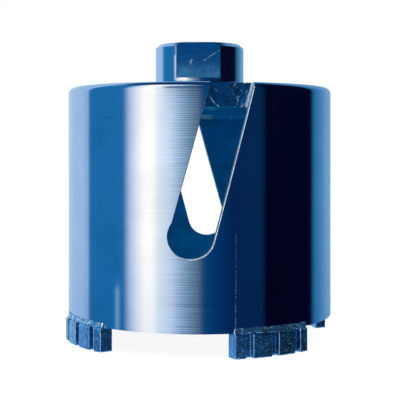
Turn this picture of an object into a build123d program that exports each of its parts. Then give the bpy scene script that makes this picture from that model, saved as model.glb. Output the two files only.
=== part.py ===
from build123d import *
import os
from math import cos, radians, sin, tan

os.makedirs("parts", exist_ok=True)

# Diamond core bit for dry drilling of socket boxes: a steel cup on a threaded hub, with four
# diamond segments brazed to its rim. Millimetres and degrees throughout.
#
# Frame: the drilling axis is Z, with the hub on top. The bit stands on its segment tips at z = 0.
# Azimuths run about Z, from -Y towards +X. The hub's flats face -Y and +Y.

# ---- Barrel -----------------------------------------------------------------------------------
barrel_diameter = 80.0
barrel_wall = 2.0
barrel_length = 68.2
rim_radius = 1.8                # rounding of the barrel's upper outer edge
rim_land = 0.1                  # flat left inside that rounding on a thin wall

# ---- End plate and its weld -------------------------------------------------------------------
plate_thickness = 6.8
plate_fit = 0.05                # radial gap between the plate and the barrel's bore
plate_weld_leg = 1.5            # flat-faced bead in the corner under the plate

# ---- Hub --------------------------------------------------------------------------------------
hub_diameter = 27.0
hub_height = 13.3               # above the plate
hub_chamfer = 1.1
flat_across = 23.6              # for a 24 mm spanner
collar_height = 2.7             # full round below the flats
thread_bore = 14.0              # tapping size of the M16 thread
thread_lead_in = 1.2
spigot_diameter = 22.0          # lower end of the hub, in the plate
spigot_fit = 0.05               # radial gap between the spigot and the plate
hub_weld_leg = 1.8              # flat-faced bead around the foot of the hub

# ---- Slots ------------------------------------------------------------------------------------
slot_count = 2
slot_azimuth = 12.0             # direction of the milling cutter for the first slot
slot_width = 12.0
slot_slant = 15.0               # lean of the slot towards increasing azimuth
slot_end_height = 26.2          # centre of the lower end, above the barrel's lower edge
slot_end_offset = -8.9          # that centre, sideways from the cutter's azimuth
slot_depth = 6.2                # from the outside of the barrel to the flat cut in the plate
pilot_diameter = 12.2           # hole drilled first, where the slot ends
pilot_shift = -0.3              # centre of that hole, sideways from the slot's middle

# ---- Diamond segments and their braze ---------------------------------------------------------
segment_count = 4
segment_azimuth = 32.7          # middle of the first segment
segment_length = 24.0           # between its two parallel ends
segment_drop = 6.85             # the tips below the barrel's lower edge
outer_relief = 1.0              # the segments stand this far outside the barrel
inner_relief = 0.5              # and this far inside its bore
groove_count = 3
groove_pitch = 11.3             # degrees between neighbouring grooves
groove_width = 2.2              # at the mouth
groove_depth = 1.5
groove_draft = 8.0
tooth_bevel = 0.4               # along the upper outer edge of the teeth
braze_film = 0.15               # between the segment and the barrel's edge
braze_rise = 1.5                # flat-faced fillet up the outside of the barrel
inner_braze_rise = 0.8
braze_set_back = 0.15           # the fillet stops this short of the segment's faces

# ---- Places that follow from the sizes above --------------------------------------------------
barrel_radius = barrel_diameter / 2
bore_radius = barrel_radius - barrel_wall
barrel_bottom = segment_drop
barrel_top = barrel_bottom + barrel_length
plate_bottom = barrel_top - plate_thickness
plate_radius = bore_radius - plate_fit
hub_radius = hub_diameter / 2
hub_top = barrel_top + hub_height
flat_bottom = barrel_top + collar_height
thread_radius = thread_bore / 2
spigot_radius = spigot_diameter / 2
slot_floor = barrel_radius - slot_depth
segment_top = barrel_bottom - braze_film
segment_outer = barrel_radius + outer_relief
segment_inner = bore_radius - inner_relief
beyond = 5.0                    # how far a cutting tool runs past what it cuts


def facing(azimuth, distance=0.0):
    """Upright plane across an azimuth: local x runs sideways, local y is up, z points outwards."""
    outward = Vector(sin(radians(azimuth)), -cos(radians(azimuth)), 0)
    sideways = (cos(radians(azimuth)), sin(radians(azimuth)), 0)
    return Plane(origin=outward * distance, x_dir=sideways, z_dir=outward)


def level(azimuth):
    """Horizontal plane with its local x axis pointing out along an azimuth."""
    return Plane.XY.rotated((0, 0, azimuth - 90))


def upright(azimuth):
    """Upright plane through the drilling axis: local x points out along an azimuth, y is up."""
    outward = (sin(radians(azimuth)), -cos(radians(azimuth)), 0)
    return Plane(origin=(0, 0, 0), x_dir=outward, z_dir=(outward[1], -outward[0], 0))


# The two slots as the cutter leaves them: a drilled end, then a slanted pass up and out of the
# top, down to a flat floor. Their shape is taken out of every piece that they cross.
end_z = barrel_bottom + slot_end_height
pass_length = (barrel_top + beyond - end_z) / cos(radians(slot_slant))
with BuildPart() as slot_cutter:
    for turn in range(slot_count):
        azimuth = slot_azimuth + turn * 360 / slot_count
        with BuildSketch(facing(azimuth, slot_floor)):
            with Locations((slot_end_offset, end_z)):
                Circle(slot_width / 2)
                Rectangle(
                    slot_width,
                    pass_length,
                    rotation=-slot_slant,
                    align=(Align.CENTER, Align.MIN),
                )
            with Locations((slot_end_offset + pilot_shift, end_z)):
                Circle(pilot_diameter / 2)
        extrude(amount=slot_depth + beyond)

# Barrel: a turned tube, rounded at its upper outer edge.
with BuildPart() as barrel:
    with BuildSketch(Plane.XY.offset(barrel_bottom)):
        Circle(barrel_radius)
        Circle(bore_radius, mode=Mode.SUBTRACT)
    extrude(amount=barrel_length)
    upper_edges = barrel.edges().group_by(Axis.Z)[-1]
    fillet(upper_edges.sort_by(SortBy.RADIUS)[-1], radius=min(rim_radius, barrel_wall - rim_land))
    add(slot_cutter.part, mode=Mode.SUBTRACT)
barrel.part.label = "barrel"
export_step(barrel.part, "parts/barrel.step")

# End plate: a disc flush with the top of the barrel, bored for the hub and notched by the slots.
with BuildPart() as end_plate:
    with BuildSketch(Plane.XY.offset(plate_bottom)):
        Circle(plate_radius)
        Circle(spigot_radius + spigot_fit, mode=Mode.SUBTRACT)
    extrude(amount=plate_thickness)
    add(slot_cutter.part, mode=Mode.SUBTRACT)
end_plate.part.label = "end_plate"
export_step(end_plate.part, "parts/end_plate.step")

# Weld under the plate: a fillet in the corner of the bore, broken by the slots.
with BuildPart() as plate_weld:
    with BuildSketch(Plane.XZ):
        with BuildLine():
            Polyline(
                (bore_radius - plate_weld_leg, plate_bottom),
                (bore_radius, plate_bottom),
                (bore_radius, plate_bottom - plate_weld_leg),
                close=True,
            )
        make_face()
    revolve(axis=Axis.Z)
    add(slot_cutter.part, mode=Mode.SUBTRACT)
plate_weld.part.label = "plate_weld"
export_step(plate_weld.part, "parts/plate_weld.step")

# Hub: turned with a spigot that fills the plate's bore, tapped right through, and milled with
# two flats that stop above a round collar.
with BuildPart() as hub:
    with BuildSketch(Plane.XZ):
        with BuildLine():
            Polyline(
                (thread_radius + thread_lead_in, plate_bottom),
                (spigot_radius, plate_bottom),
                (spigot_radius, barrel_top),
                (hub_radius, barrel_top),
                (hub_radius, hub_top - hub_chamfer),
                (hub_radius - hub_chamfer, hub_top),
                (thread_radius + thread_lead_in, hub_top),
                (thread_radius, hub_top - thread_lead_in),
                (thread_radius, plate_bottom + thread_lead_in),
                close=True,
            )
        make_face()
    revolve(axis=Axis.Z)
    with BuildSketch(Plane.XY.offset(flat_bottom)):
        Rectangle(hub_diameter + beyond, hub_diameter + beyond)
        Rectangle(hub_diameter + beyond, flat_across, mode=Mode.SUBTRACT)
    extrude(amount=hub_top + beyond - flat_bottom, mode=Mode.SUBTRACT)
hub.part.label = "hub"
export_step(hub.part, "parts/hub.step")

# Weld around the foot of the hub.
with BuildPart() as hub_weld:
    with BuildSketch(Plane.XZ):
        with BuildLine():
            Polyline(
                (hub_radius, barrel_top + hub_weld_leg),
                (hub_radius, barrel_top),
                (hub_radius + hub_weld_leg, barrel_top),
                close=True,
            )
        make_face()
    revolve(axis=Axis.Z)
hub_weld.part.label = "hub_weld"
export_step(hub_weld.part, "parts/hub_weld.step")

# Segments and their braze, one pair to each place around the rim.
for index in range(segment_count):
    azimuth = segment_azimuth + index * 360 / segment_count
    number = index + 1

    # Segment: a curved block with parallel ends and upright grooves in its outer face, which
    # leave a narrow tooth at each end and wide ones between.
    with BuildPart() as segment:
        with BuildSketch(level(azimuth)):
            Circle(segment_outer)
            Circle(segment_inner, mode=Mode.SUBTRACT)
            with Locations((segment_outer / 2, 0)):
                Rectangle(segment_outer + beyond, segment_length, mode=Mode.INTERSECT)
            with PolarLocations(
                segment_outer,
                groove_count,
                start_angle=-groove_pitch * (groove_count - 1) / 2,
                angular_range=groove_pitch * (groove_count - 1),
                endpoint=True,
            ):
                Trapezoid(
                    groove_width + 2 * groove_depth * tan(radians(groove_draft)),
                    2 * groove_depth,
                    90 - groove_draft,
                    rotation=90,
                    mode=Mode.SUBTRACT,
                )
        extrude(amount=segment_top)
        tooth_tops = (
            segment.edges()
            .group_by(Axis.Z)[-1]
            .filter_by(GeomType.CIRCLE)
            .group_by(SortBy.RADIUS)[-1]
        )
        chamfer(tooth_tops, length=tooth_bevel)
    segment.part.label = f"segment_{number}"
    export_step(segment.part, f"parts/segment_{number}.step")

    # Braze: a thin film under the barrel's edge, drawn up into a fillet on either side of it.
    with BuildPart() as segment_braze:
        with BuildSketch(upright(azimuth)):
            with BuildLine():
                Polyline(
                    (barrel_radius, barrel_bottom + braze_rise),
                    (segment_outer - tooth_bevel - braze_set_back, segment_top),
                    (segment_inner + braze_set_back, segment_top),
                    (bore_radius, barrel_bottom + inner_braze_rise),
                    (bore_radius, barrel_bottom),
                    (barrel_radius, barrel_bottom),
                    close=True,
                )
            make_face()
        revolve(axis=Axis.Z)
        with BuildSketch(level(azimuth)):
            with Locations((segment_outer / 2, 0)):
                Rectangle(segment_outer + beyond, segment_length - 2 * braze_set_back)
        extrude(amount=barrel_top, mode=Mode.INTERSECT)
    segment_braze.part.label = f"segment_braze_{number}"
    export_step(segment_braze.part, f"parts/segment_braze_{number}.step")
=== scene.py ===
"""Looks of the diamond core bit: its finishes, beads, thread, braze and gritty segments.

Pieces are built in millimetres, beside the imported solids, and scaled to metres when placed.
"""

import logging
import math
from dataclasses import dataclass
from enum import Enum, IntEnum
from functools import reduce
from typing import Callable, Mapping, Optional, Sequence, Union

import bmesh
import bpy
from mathutils import Matrix, Vector, noise


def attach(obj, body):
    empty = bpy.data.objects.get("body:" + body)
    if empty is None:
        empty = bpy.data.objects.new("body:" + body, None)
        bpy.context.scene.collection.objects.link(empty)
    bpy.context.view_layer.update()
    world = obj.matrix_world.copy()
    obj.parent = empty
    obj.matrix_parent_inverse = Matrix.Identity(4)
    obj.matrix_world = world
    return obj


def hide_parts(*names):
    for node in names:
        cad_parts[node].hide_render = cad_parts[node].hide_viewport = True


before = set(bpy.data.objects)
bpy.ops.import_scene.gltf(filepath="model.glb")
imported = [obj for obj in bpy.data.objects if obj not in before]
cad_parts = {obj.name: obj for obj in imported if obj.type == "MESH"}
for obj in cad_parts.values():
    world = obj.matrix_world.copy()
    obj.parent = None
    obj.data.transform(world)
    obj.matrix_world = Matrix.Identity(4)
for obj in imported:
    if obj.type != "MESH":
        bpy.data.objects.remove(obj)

LOG = logging.getLogger("core_bit")
BODY = "root"
MM = 0.001
NEAR = 0.02  # How close places in millimetres count as one.
LEVEL = 0.9999  # From where a normal counts as square to a flat.

Shape = bmesh.types.BMesh
Vert = bmesh.types.BMVert
Edge = bmesh.types.BMEdge
Face = bmesh.types.BMFace
Socket = bpy.types.NodeSocket
Outputs = bpy.types.bpy_prop_collection
Material = bpy.types.Material
Object = bpy.types.Object
Tree = bpy.types.NodeTree
Pair = tuple[float, float]
Colour = tuple[float, float, float]
Plug = Union[Socket, float, Sequence[float]]
NormalRule = Callable[[Vector, Vector], Vector]


# ---- Shader building --------------------------------------------------------------------------


class Graph:
    """A node tree, with short calls for the nodes that the finishes are made of."""

    def __init__(self, tree: Tree) -> None:
        """Keeps the tree that nodes are added to."""
        self.tree = tree

    def add(self, kind: str, **settings: object) -> bpy.types.Node:
        """Adds one node.

        Args:
            kind: The node's type name.
            settings: Properties of the node itself, such as its operation.

        Returns:
            The new node.
        """
        node = self.tree.nodes.new(kind)
        for name, value in settings.items():
            setattr(node, name, value)
        return node

    def plug(self, value: Plug, socket: Socket) -> None:
        """Links another socket to this one, or sets its plain value.

        Args:
            value: The other socket, or the value.
            socket: The input that takes it.
        """
        if isinstance(value, bpy.types.NodeSocket):
            self.tree.links.new(value, socket)
        elif socket.type == "RGBA" and len(value) == 3:
            socket.default_value = (*value, 1.0)
        else:
            socket.default_value = value

    def fed(self, node: bpy.types.Node, values: Mapping[Union[int, str], Plug]) -> Outputs:
        """Fills a node's inputs.

        Args:
            node: The node.
            values: What each input takes, by its name or number.

        Returns:
            The node's outputs.
        """
        for key, value in values.items():
            self.plug(value, node.inputs[key])
        return node.outputs

    def math(self, operation: str, *values: Plug) -> Socket:
        """Adds a Math node and returns its result."""
        node = self.add("ShaderNodeMath", operation=operation)
        return self.fed(node, dict(enumerate(values)))[0]

    def vector_math(self, operation: str, *values: Plug) -> Outputs:
        """Adds a Vector Math node and returns its outputs."""
        node = self.add("ShaderNodeVectorMath", operation=operation)
        return self.fed(node, dict(enumerate(values)))

    def times(self, *values: Plug) -> Socket:
        """Returns the product of some values."""
        return reduce(lambda first, second: self.math("MULTIPLY", first, second), values)

    def most(self, *values: Plug) -> Socket:
        """Returns the greatest of some values."""
        return reduce(lambda first, second: self.math("MAXIMUM", first, second), values)

    def linear(self, value: Plug, factor: Plug, offset: Plug) -> Socket:
        """Returns the value times the factor, plus the offset."""
        return self.math("MULTIPLY_ADD", value, factor, offset)

    def split(self, vector: Plug) -> list[Socket]:
        """Returns the X, Y and Z of a vector."""
        return list(self.fed(self.add("ShaderNodeSeparateXYZ"), {0: vector}))

    def join(self, x: Plug, y: Plug, z: Plug) -> Socket:
        """Returns a vector made of three values."""
        return self.fed(self.add("ShaderNodeCombineXYZ"), {0: x, 1: y, 2: z})[0]

    def grain(self, vector: Plug, scale: Plug, detail: float, rough: float) -> Socket:
        """Adds a Noise texture.

        Args:
            vector: Where it is read.
            scale: How many swells it has in a metre.
            detail: How many finer layers it has.
            rough: How strong those are.

        Returns:
            Its value, which is about 0.5 on average.
        """
        node = self.add("ShaderNodeTexNoise", noise_dimensions="3D")
        values = {"Vector": vector, "Scale": scale, "Detail": detail, "Roughness": rough}
        return self.fed(node, values)["Fac"]

    def band(
        self, value: Plug, low: Plug, high: Plug, out_low: Plug = 0.0, out_high: Plug = 1.0
    ) -> Socket:
        """Maps a value smoothly from one range to another, and stops at its ends.

        Args:
            value: The value.
            low: What gives out_low; it may be the greater of the two.
            high: What gives out_high.
            out_low: One end of the result.
            out_high: The other end.

        Returns:
            The result.
        """
        node = self.add("ShaderNodeMapRange", interpolation_type="SMOOTHSTEP", clamp=True)
        ends = {"From Min": low, "From Max": high, "To Min": out_low, "To Max": out_high}
        return self.fed(node, {"Value": value, **ends})["Result"]

    def spread(self, share: Plug, low: Plug, high: Plug) -> Socket:
        """Maps 0 to a low value and 1 to a high one, smoothly."""
        return self.band(share, 0.0, 1.0, low, high)

    def mix(self, factor: Plug, low: Plug, high: Plug, blend: str = "MIX") -> Socket:
        """Mixes two colours and returns the result."""
        node = self.add("ShaderNodeMix", data_type="RGBA", blend_type=blend)
        return self.fed(node, {0: factor, 6: low, 7: high})[2]

    def shaded(self, colour: Plug, tone: Socket) -> Socket:
        """Multiplies a colour by a grey value."""
        return self.mix(1.0, colour, self.join(tone, tone, tone), blend="MULTIPLY")

    def bump(self, height: Plug, distance: float) -> Socket:
        """Turns a height into a normal."""
        node = self.add("ShaderNodeBump")
        return self.fed(node, {"Strength": 1.0, "Distance": distance, "Height": height})["Normal"]

    def blended(self, factor: Plug, first: Socket, second: Socket) -> Socket:
        """Mixes two shaders and returns the result."""
        return self.fed(self.add("ShaderNodeMixShader"), {0: factor, 1: first, 2: second})[0]


class Effect(Enum):
    """The shared surface effects: each one's node group, its values and its results."""

    LINES = ("machined_lines", ("across", "pitch", "reach"), ("height", "tone"))
    SCRATCH = (
        "scratch", ("across", "along", "place", "half_width", "start", "stop", "soft", "whole"),
        ("mask",),
    )
    SCUFFS = ("scuffs", ("size", "share"), ("mask",))
    GRIT = ("grit", ("size", "share"), ("grains", "height"))
    CLOUD = ("cloud", ("size", "low", "high"), ("tone",))


class EffectShelf:
    """Builds each shared effect once, and places it in the materials that ask for it."""

    def __init__(self) -> None:
        """Starts with no group built."""
        self.trees: dict[Effect, Tree] = {}

    def place(self, graph: Graph, effect: Effect, **values: Plug) -> Outputs:
        """Adds an effect to a material.

        Args:
            graph: The material's nodes.
            effect: Which effect it is.
            values: The group's inputs by name.

        Returns:
            The outputs of the group, by name.
        """
        if effect not in self.trees:
            self.trees[effect] = self.made(effect)
        node = graph.add("ShaderNodeGroup")
        node.node_tree = self.trees[effect]
        return graph.fed(node, values)

    def made(self, effect: Effect) -> Tree:
        """Makes an effect's node group.

        Args:
            effect: Which effect it is.

        Returns:
            The group.
        """
        name, values, results = effect.value
        tree = bpy.data.node_groups.new(name, "ShaderNodeTree")
        tree.interface.new_socket("vector", in_out="INPUT", socket_type="NodeSocketVector")
        for value in values:
            tree.interface.new_socket(value, in_out="INPUT", socket_type="NodeSocketFloat")
        for result in results:
            tree.interface.new_socket(result, in_out="OUTPUT", socket_type="NodeSocketFloat")
        graph = Graph(tree)
        drawn = getattr(self, name)(graph, graph.add("NodeGroupInput").outputs)
        graph.fed(graph.add("NodeGroupOutput"), dict(zip(results, drawn)))
        return tree

    @staticmethod
    def machined_lines(graph: Graph, given: Outputs) -> list[Socket]:
        """Draws the lines that a tool leaves: fine across, and drawn out along.

        Args:
            graph: The group's nodes.
            given: Its inputs.

        Returns:
            Its results.
        """
        x, y, _ = graph.split(given["vector"])
        drawn = graph.join(
            graph.math("DIVIDE", x, given["reach"]),
            graph.math("DIVIDE", y, given["reach"]),
            graph.math("DIVIDE", given["across"], given["pitch"]),
        )
        height = graph.grain(drawn, 1.0, 3.0, 0.6)
        return [height, graph.band(height, 0.32, 0.68)]

    @staticmethod
    def scratch(graph: Graph, given: Outputs) -> list[Socket]:
        """Draws one thin broken line at a place across the surface.

        Args:
            graph: The group's nodes.
            given: Its inputs.

        Returns:
            Its results.
        """
        along, start, stop = given["along"], given["start"], given["stop"]
        off = graph.math("ABSOLUTE", graph.math("SUBTRACT", given["across"], given["place"]))
        line = graph.band(off, given["half_width"], 0.0)
        begun = graph.band(along, graph.math("SUBTRACT", start, given["soft"]), start)
        ended = graph.band(along, graph.math("ADD", stop, given["soft"]), stop)
        broken = graph.band(graph.grain(given["vector"], 1400.0, 3.0, 0.7), 0.36, 0.56)
        return [graph.times(line, begun, ended, graph.most(broken, given["whole"]))]

    @staticmethod
    def scuffs(graph: Graph, given: Outputs) -> list[Socket]:
        """Draws hair-fine handling marks in three directions.

        Args:
            graph: The group's nodes.
            given: Its inputs.

        Returns:
            Its results.
        """
        marks = []
        scale = graph.math("DIVIDE", 1.0, given["size"])
        least = graph.math("SUBTRACT", 0.86, given["share"])
        for turn in ((0.3, 0.9, 0.2), (1.3, 0.2, 1.1), (2.2, 1.5, 0.6)):
            node = graph.add("ShaderNodeVectorRotate", rotation_type="EULER_XYZ")
            turned = graph.fed(node, {"Vector": given["vector"], "Rotation": turn})[0]
            drawn = graph.vector_math("MULTIPLY", turned, (0.05, 1.0, 1.0))[0]
            marks.append(graph.band(graph.grain(drawn, scale, 1.0, 0.4), least, 0.92))
        return [graph.most(*marks)]

    @staticmethod
    def grit(graph: Graph, given: Outputs) -> list[Socket]:
        """Draws grains in a matrix: some cells of a Voronoi pattern stand out as crystals.

        Args:
            graph: The group's nodes.
            given: Its inputs.

        Returns:
            Its results.
        """
        scale = graph.math("DIVIDE", 1.0, given["size"])
        node = graph.add("ShaderNodeTexVoronoi", feature="F1")
        cells = graph.fed(node, {"Vector": given["vector"], "Scale": scale})
        chance = graph.split(cells["Color"])[0]
        chosen = graph.math("GREATER_THAN", given["share"], chance)
        grains = graph.times(chosen, graph.band(cells["Distance"], 0.55, 0.25))
        body = graph.grain(given["vector"], graph.times(scale, 1.6), 4.0, 0.65)
        return [grains, graph.linear(grains, 0.8, body)]

    @staticmethod
    def cloud(graph: Graph, given: Outputs) -> list[Socket]:
        """Draws broad, soft changes of tone.

        Args:
            graph: The group's nodes.
            given: Its inputs.

        Returns:
            Its results.
        """
        scale = graph.math("DIVIDE", 1.0, given["size"])
        drift = graph.grain(given["vector"], scale, 4.0, 0.55)
        return [graph.band(drift, 0.3, 0.7, given["low"], given["high"])]


SHELF = EffectShelf()


# ---- The studio -------------------------------------------------------------------------------


@dataclass(frozen=True)
class Panel:
    """One stop of the ring of light around the bit: its bearing from the camera, and its light."""

    bearing: float
    light: Colour


@dataclass(frozen=True)
class View:
    """Where the camera stands, and how its frame sits around the bit."""

    azimuth: float = 2.0
    distance: float = 316.0 * MM
    height: float = 57.47 * MM
    lens: float = 92.43
    shift_x: float = 0.0011
    shift_y: float = -0.1345


@dataclass
class Studio:
    """Camera, floor and a ring of pale and dark panels that the metal shows."""

    view: View = View()
    plain_light: Colour = (1.0, 1.0, 1.0)
    backdrop: Colour = (1.0, 1.0, 1.0)
    zenith: Colour = (0.006, 0.06, 0.17)
    zenith_from: float = 50.0
    zenith_full: float = 60.0
    lower_share: Colour = (0.80, 0.86, 0.94)
    lower_from: float = -4.0
    lower_full: float = -12.0
    below: Colour = (0.75, 0.80, 0.88)
    below_from: float = -16.0
    below_full: float = -34.0
    card: Colour = (0.003, 0.115, 0.26)
    card_bearings: tuple[float, float, float, float] = (-34.0, -26.0, 3.0, 6.0)
    card_heights: tuple[float, float, float, float] = (3.5, 4.2, 22.0, 28.0)
    floor_size: float = 6.0
    floor_tone: Colour = (0.93, 0.95, 0.97)
    shadow_share: float = 0.22
    floor_glow: float = 1.16
    ring: tuple[Panel, ...] = (
        Panel(-180, (0.55, 0.76, 0.88)),
        Panel(-160, (0.66, 0.84, 0.95)),
        Panel(-140, (0.86, 0.90, 1.02)),
        Panel(-122, (1.16, 1.05, 1.08)),
        Panel(-111, (0.95, 0.93, 1.00)),
        Panel(-108, (0.045, 0.32, 0.53)),
        Panel(-67, (0.045, 0.32, 0.54)),
        Panel(-61, (1.75, 1.22, 1.1)),
        Panel(-54, (3.4, 1.85, 1.28)),
        Panel(-47, (4.8, 2.4, 1.45)),
        Panel(-40, (4.8, 2.4, 1.45)),
        Panel(-35, (3.4, 1.95, 1.32)),
        Panel(-24, (2.5, 1.55, 1.24)),
        Panel(-15, (1.20, 0.92, 0.84)),
        Panel(-8, (0.66, 0.60, 0.56)),
        Panel(-1, (0.44, 0.33, 0.34)),
        Panel(3, (0.008, 0.135, 0.26)),
        Panel(12, (0.003, 0.08, 0.21)),
        Panel(28, (0.003, 0.038, 0.115)),
        Panel(42, (0.004, 0.045, 0.12)),
        Panel(53, (0.004, 0.045, 0.11)),
        Panel(58, (0.001, 0.001, 0.014)),
        Panel(110, (0.001, 0.001, 0.018)),
        Panel(117, (0.08, 0.32, 0.50)),
        Panel(128, (0.18, 0.44, 0.62)),
        Panel(142, (0.33, 0.55, 0.75)),
        Panel(160, (0.30, 0.50, 0.64)),
        Panel(180, (0.55, 0.76, 0.88)),
    )

    def place_camera(self) -> None:
        """Adds the camera, level, looking at the drilling axis."""
        view = self.view
        data = bpy.data.cameras.new("camera")
        data.lens, data.shift_x, data.shift_y = view.lens, view.shift_x, view.shift_y
        camera = bpy.data.objects.new("camera", data)
        turn = math.radians(view.azimuth)
        camera.location = (
            math.sin(turn) * view.distance, -math.cos(turn) * view.distance, view.height
        )
        camera.rotation_euler = (math.pi / 2, 0, turn)
        bpy.context.scene.collection.objects.link(camera)
        bpy.context.scene.camera = camera

    def floor_paper(self) -> Material:
        """Makes the floor's finish: white to the camera, but for a share of the bit's shadow.

        Returns:
            The material, which is clear from below.
        """
        material = bpy.data.materials.new("floor_paper")
        material.use_nodes = True
        graph = Graph(material.node_tree)
        graph.tree.nodes.clear()
        matt = graph.fed(graph.add("ShaderNodeBsdfDiffuse"), {"Color": self.floor_tone})[0]
        white = graph.fed(graph.add("ShaderNodeEmission"), {"Strength": self.floor_glow})[0]
        seen = graph.add("ShaderNodeLightPath").outputs["Is Camera Ray"]
        paper = graph.blended(graph.times(seen, 1 - self.shadow_share), matt, white)
        below = graph.add("ShaderNodeNewGeometry").outputs["Backfacing"]
        clear = graph.add("ShaderNodeBsdfTransparent").outputs[0]
        shader = graph.blended(below, paper, clear)
        graph.plug(shader, graph.add("ShaderNodeOutputMaterial").inputs[0])
        return material

    def lay_floor(self) -> None:
        """Adds a plain pale floor, which keeps a soft shadow of the bit."""
        shape = bmesh.new()
        bmesh.ops.create_grid(shape, x_segments=1, y_segments=1, size=self.floor_size / 2)
        mesh = bpy.data.meshes.new("floor")
        shape.to_mesh(mesh)
        shape.free()
        floor = bpy.data.objects.new("floor", mesh)
        bpy.context.scene.collection.objects.link(floor)
        floor.visible_glossy = False
        mesh.materials.append(self.floor_paper())

    @staticmethod
    def above(graph: Graph, rise: Socket, start: float, full: float) -> Socket:
        """Returns how far a direction's rise is on its way from one angle to another."""
        return graph.band(rise, math.sin(math.radians(start)), math.sin(math.radians(full)))

    @staticmethod
    def window(graph: Graph, value: Socket, stops: Sequence[float]) -> Socket:
        """Returns 1 between the middle two of four stops, and fades to 0 at the outer two."""
        outer_low, low, high, outer_high = stops
        return graph.times(graph.band(value, outer_low, low), graph.band(value, outer_high, high))

    def ring_light(self, graph: Graph, direction: Socket) -> Socket:
        """Builds the light that gloss meets.

        Args:
            graph: The world's nodes.
            direction: Where it is looked for.

        Returns:
            The colour of the ring, the card, the zenith or the floor in that direction.
        """
        x, y, z = graph.split(direction)
        azimuth = graph.math("ARCTAN2", x, graph.times(y, -1.0))
        turned = graph.math("SUBTRACT", azimuth, math.radians(self.view.azimuth))
        place = graph.math("FRACT", graph.linear(turned, 0.5 / math.pi, 0.5))
        node = graph.add("ShaderNodeValToRGB")
        graph.plug(place, node.inputs[0])
        brightest = max(max(panel.light) for panel in self.ring)
        stops = node.color_ramp.elements
        for panel in self.ring[1:-1]:
            stops.new((panel.bearing + 180) / 360)
        for stop, panel in zip(stops, self.ring):
            stop.color = (*(level / brightest for level in panel.light), 1.0)
        lit = graph.mix(1.0, node.outputs[0], (brightest,) * 3, blend="MULTIPLY")
        lower = self.above(graph, z, self.lower_from, self.lower_full)
        lit = graph.mix(lower, lit, graph.mix(1.0, lit, self.lower_share, blend="MULTIPLY"))
        lifts = [math.sin(math.radians(height)) for height in self.card_heights]
        across = self.window(graph, graph.linear(place, 360.0, -180.0), self.card_bearings)
        lit = graph.mix(graph.times(across, self.window(graph, z, lifts)), lit, self.card)
        lit = graph.mix(self.above(graph, z, self.zenith_from, self.zenith_full), lit, self.zenith)
        return graph.mix(self.above(graph, z, self.below_from, self.below_full), lit, self.below)

    def hang_panels(self) -> None:
        """Builds the world: white to the camera, the ring to gloss, plain light to the rest."""
        world = bpy.data.worlds.new("studio")
        bpy.context.scene.world = world
        world.use_nodes = True
        graph = Graph(world.node_tree)
        graph.tree.nodes.clear()
        path = graph.add("ShaderNodeLightPath").outputs
        ring = self.ring_light(graph, graph.add("ShaderNodeTexCoord").outputs["Generated"])
        light = graph.mix(path["Is Glossy Ray"], self.plain_light, ring)
        light = graph.mix(path["Is Camera Ray"], light, self.backdrop)
        panels = graph.fed(graph.add("ShaderNodeBackground"), {0: light})[0]
        graph.plug(panels, graph.add("ShaderNodeOutputWorld").inputs[0])

    def build(self) -> None:
        """Builds the whole studio."""
        self.place_camera()
        self.lay_floor()
        self.hang_panels()
        bpy.context.scene.view_settings.view_transform = "Standard"


# ---- Finishes ---------------------------------------------------------------------------------


@dataclass(frozen=True)
class Mark:
    """A scratch or streak in millimetres: its middle, half its width, and its run.

    Its ends fade over the soft length. It is unbroken where whole is 1, and broken where it is 0.
    """

    place: float
    half_width: float
    start: float
    stop: float
    soft: float = 2.0
    whole: float = 0.0


class Surface(Graph):
    """A material's nodes, with the shared effects laid over its object coordinates."""

    def __init__(self, tree: Tree) -> None:
        """Starts with the object coordinates, in metres."""
        super().__init__(tree)
        self.place = self.add("ShaderNodeTexCoord").outputs["Object"]

    def lay(self, effect: Effect, **values: Plug) -> Outputs:
        """Lays a shared effect over the surface, and returns its outputs by name."""
        return SHELF.place(self, effect, vector=self.place, **values)

    def lines(self, across: Socket, pitch: float, reach: float) -> Outputs:
        """Lays machined lines, and returns their height and tone."""
        return self.lay(Effect.LINES, across=across, pitch=pitch, reach=reach)

    def cloud(self, size: float, low: float, high: float) -> Socket:
        """Lays soft changes between two tones, and returns the tone."""
        return self.lay(Effect.CLOUD, size=size, low=low, high=high)["tone"]

    def scuffs(self, size: float, share: float) -> Socket:
        """Lays handling marks, and returns where they are."""
        return self.lay(Effect.SCUFFS, size=size, share=share)["mask"]

    def grit(self, size: float, share: float) -> Outputs:
        """Lays grains, and returns where they are and their height."""
        return self.lay(Effect.GRIT, size=size, share=share)

    def scratch(self, across: Socket, along: Socket, mark: Mark) -> Socket:
        """Lays one mark.

        Args:
            across: The way across the mark, in metres.
            along: The way along it, in metres.
            mark: Where it is.

        Returns:
            How strong the mark is.
        """
        values = {name: value * MM for name, value in vars(mark).items()}
        values["whole"] = mark.whole
        return self.lay(Effect.SCRATCH, across=across, along=along, **values)["mask"]

    def lit(self, colour: Socket, mark: Optional[Mark], share: float, light: Colour) -> Socket:
        """Paints a highlight into a colour: a soft light streak along the Y axis.

        Args:
            colour: The colour.
            mark: The streak, if there is one.
            share: How much of the light's colour it takes.
            light: The light's colour.

        Returns:
            The colour with its painted highlight.
        """
        if mark is None:
            return colour
        x, y, _ = self.split(self.place)
        return self.mix(self.times(self.scratch(x, y, mark), share), colour, light)

    def around(self, radius: float) -> tuple[Socket, Socket, Socket]:
        """Measures from the drilling axis.

        Args:
            radius: Where the way around is measured, in metres.

        Returns:
            The way around, the distance from the axis and the height.
        """
        x, y, z = self.split(self.place)
        angle = self.math("ARCTAN2", x, self.times(y, -1.0))
        squares = self.linear(x, x, self.times(y, y))
        return self.times(angle, radius), self.math("SQRT", squares), z


@dataclass
class Look:
    """What a finish's pattern gives to its shader."""

    colour: Plug
    roughness: Plug
    normal: Socket
    metallic: Plug = 1.0


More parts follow.
